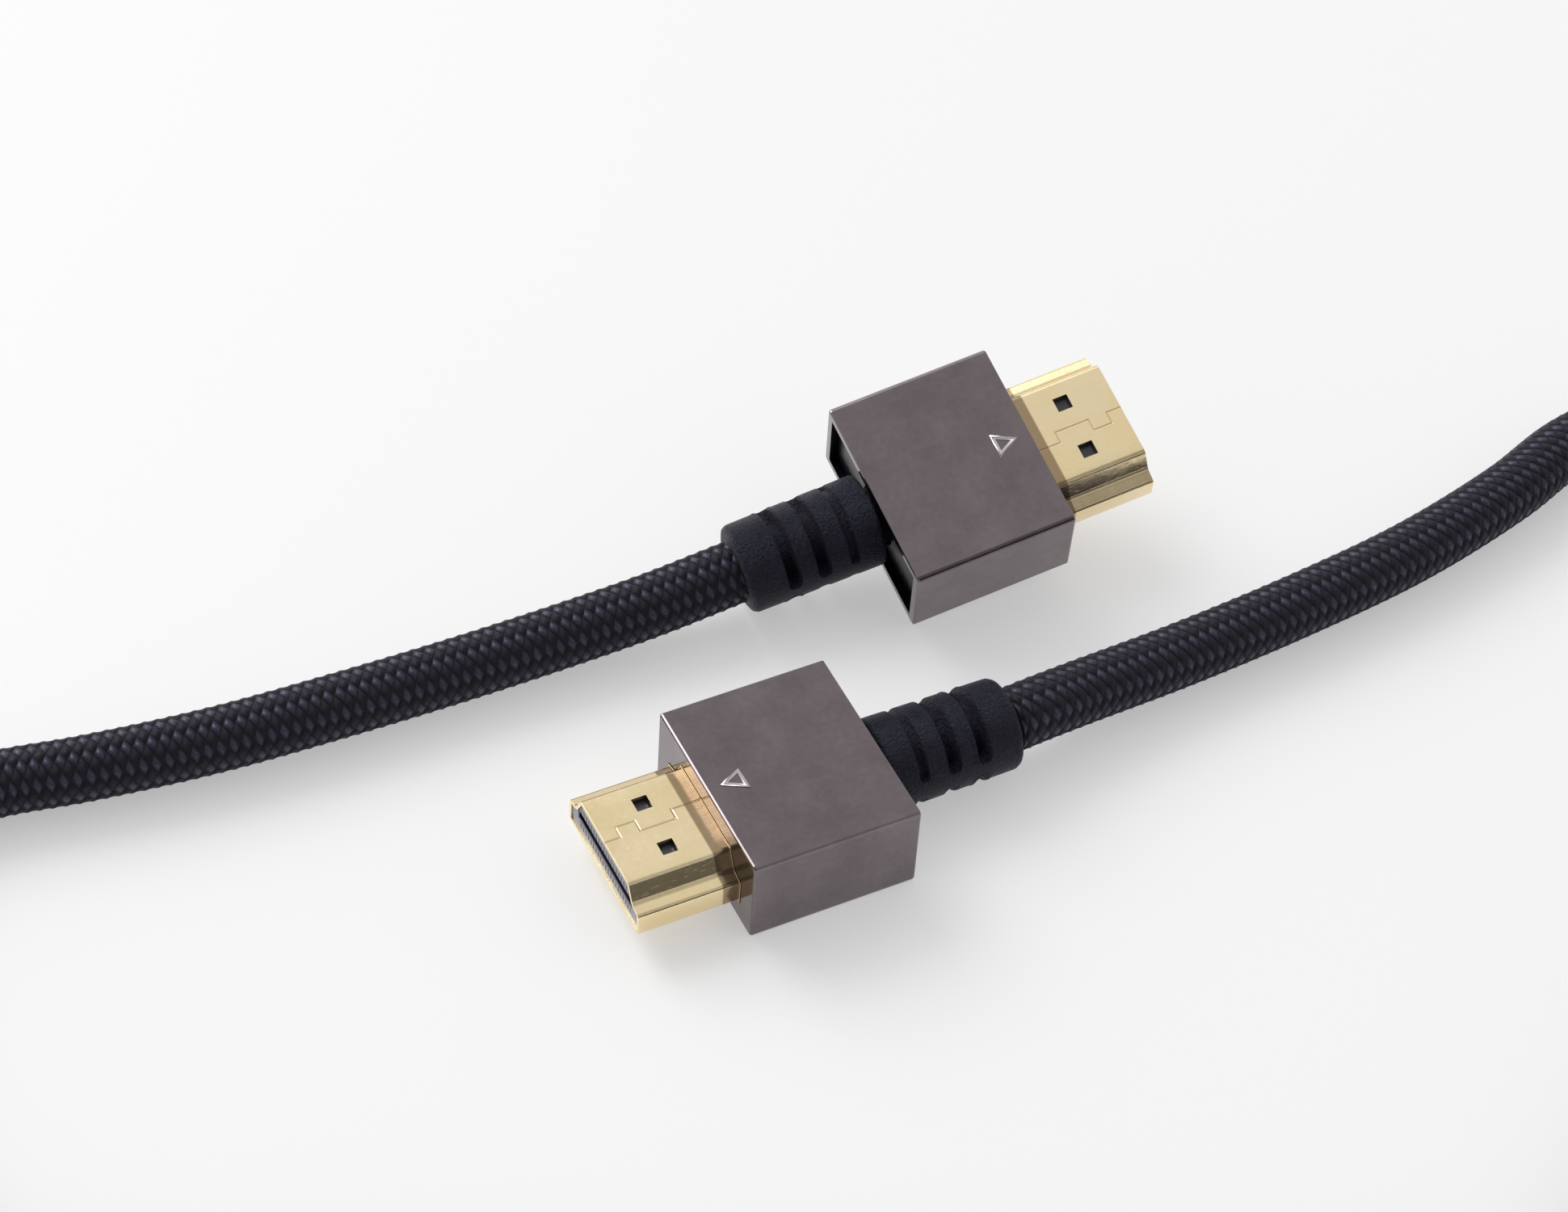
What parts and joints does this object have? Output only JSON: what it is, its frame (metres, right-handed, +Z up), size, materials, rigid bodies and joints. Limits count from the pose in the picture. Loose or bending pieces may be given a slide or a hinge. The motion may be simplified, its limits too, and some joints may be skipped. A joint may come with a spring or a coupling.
{
  "type": "hdmi cable",
  "caption": "Black braided digital video cable about half a metre long, with a straight full-size plug on each end: grey metal sleeve, gold shell and slotted rubber boot.",
  "frame": {"origin": "on the surface that the cable lies on, under the middle of the box around the two plugs", "axes": "+Z up from the surface; +Y along the way in which the two plugs lie farthest apart, towards the far plug"},
  "size_m": [0.1487, 0.161, 0.015],
  "materials": {
    "housing_metal": "satin",
    "gold_plate": "gloss",
    "plug_plastic": "gloss",
    "boot_rubber": "satin",
    "pin_gold": "gloss",
    "braid": "matte"
  },
  "bodies": {
    "root": {"far_plug_housing": "housing_metal", "far_plug_rear_insert": "plug_plastic", "far_plug_shell": "gold_plate", "far_plug_insulator": "plug_plastic", "far_plug_boot": "boot_rubber", "far_plug_floor_pin_1": "pin_gold", "far_plug_floor_pin_2": "pin_gold", "far_plug_floor_pin_3": "pin_gold", "far_plug_floor_pin_4": "pin_gold", "far_plug_floor_pin_5": "pin_gold", "far_plug_floor_pin_6": "pin_gold", "far_plug_floor_pin_7": "pin_gold", "far_plug_floor_pin_8": "pin_gold", "far_plug_floor_pin_9": "pin_gold", "far_plug_floor_pin_10": "pin_gold", "far_plug_roof_pin_1": "pin_gold", "far_plug_roof_pin_2": "pin_gold", "far_plug_roof_pin_3": "pin_gold", "far_plug_roof_pin_4": "pin_gold", "far_plug_roof_pin_5": "pin_gold", "far_plug_roof_pin_6": "pin_gold", "far_plug_roof_pin_7": "pin_gold", "far_plug_roof_pin_8": "pin_gold", "far_plug_roof_pin_9": "pin_gold", "near_plug_housing": "housing_metal", "near_plug_rear_insert": "plug_plastic", "near_plug_shell": "gold_plate", "near_plug_insulator": "plug_plastic", "near_plug_boot": "boot_rubber", "near_plug_floor_pin_1": "pin_gold", "near_plug_floor_pin_2": "pin_gold", "near_plug_floor_pin_3": "pin_gold", "near_plug_floor_pin_4": "pin_gold", "near_plug_floor_pin_5": "pin_gold", "near_plug_floor_pin_6": "pin_gold", "near_plug_floor_pin_7": "pin_gold", "near_plug_floor_pin_8": "pin_gold", "near_plug_floor_pin_9": "pin_gold", "near_plug_floor_pin_10": "pin_gold", "near_plug_roof_pin_1": "pin_gold", "near_plug_roof_pin_2": "pin_gold", "near_plug_roof_pin_3": "pin_gold", "near_plug_roof_pin_4": "pin_gold", "near_plug_roof_pin_5": "pin_gold", "near_plug_roof_pin_6": "pin_gold", "near_plug_roof_pin_7": "pin_gold", "near_plug_roof_pin_8": "pin_gold", "near_plug_roof_pin_9": "pin_gold", "cord": "braid"}
  },
  "joints": []
}
